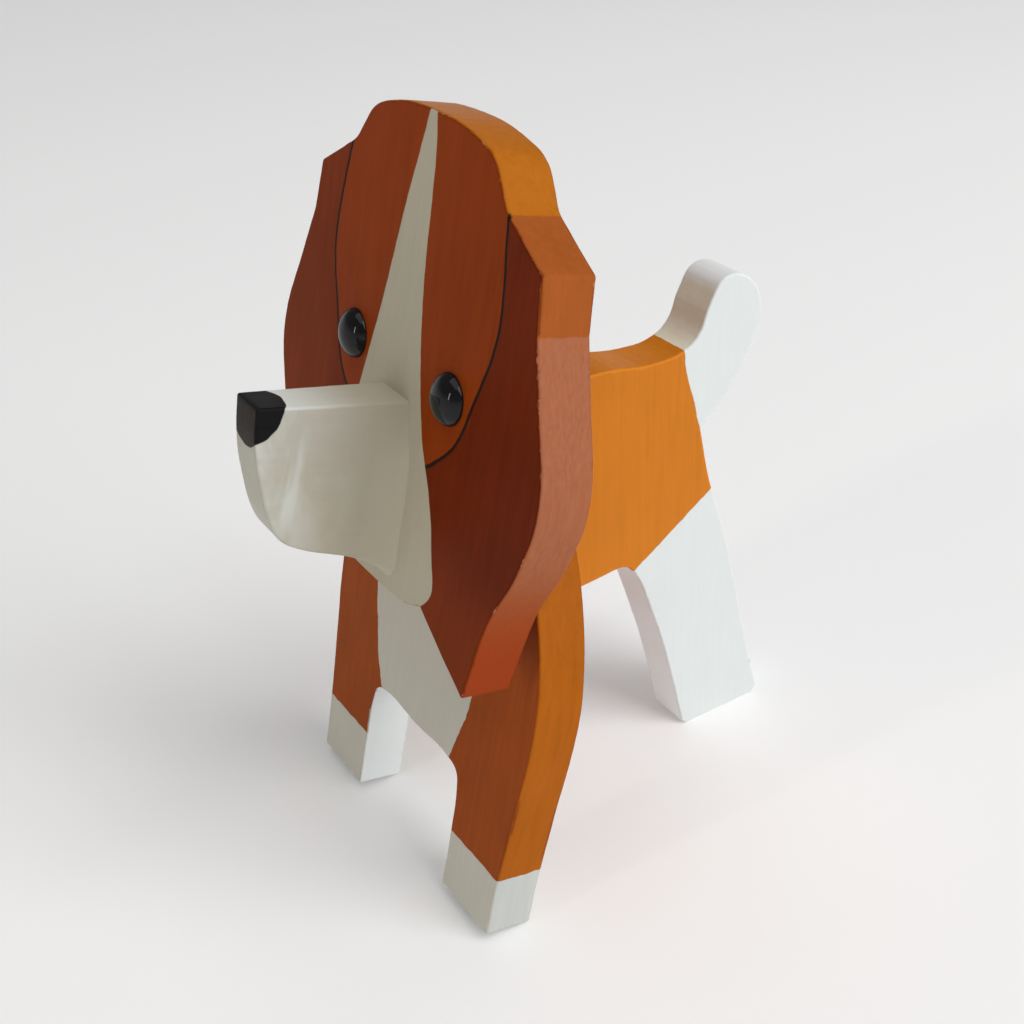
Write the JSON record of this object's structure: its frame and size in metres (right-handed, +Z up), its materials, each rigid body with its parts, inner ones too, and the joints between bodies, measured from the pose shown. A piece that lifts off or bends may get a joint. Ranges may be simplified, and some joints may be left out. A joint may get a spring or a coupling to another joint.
{
  "type": "eyeglasses display stand",
  "caption": "Table stand for a pair of eyeglasses, cut from painted boards in the shape of a dog, whose block muzzle carries the bridge of the glasses.",
  "frame": {"origin": "on the table under the middle of the stand's bounding box", "axes": "+X to the dog's left, +Y to its tail, +Z up; the stand is symmetric about x = 0"},
  "size_m": [0.0856, 0.1068, 0.14],
  "materials": {
    "brown_painted_wood": "satin reddish brown paint over wood, with brush strokes",
    "orange_painted_wood": "satin orange brown paint over wood, white on the hind leg and tail",
    "white_painted_wood": "satin off-white paint over wood, with a black painted nose",
    "gloss_black_eye": "gloss black",
    "bare_hardwood": "bare"
  },
  "bodies": {
    "root": {"head_board": "brown_painted_wood", "front_leg_board": "brown_painted_wood", "neck_pad": "brown_painted_wood", "body_board": "orange_painted_wood", "muzzle": "white_painted_wood", "eye_left": "gloss_black_eye", "eye_right": "gloss_black_eye", "muzzle_dowel_upper": "bare_hardwood", "muzzle_dowel_lower": "bare_hardwood", "neck_dowel_left": "bare_hardwood", "neck_dowel_right": "bare_hardwood", "body_dowel_upper": "bare_hardwood", "body_dowel_lower": "bare_hardwood"}
  },
  "joints": []
}
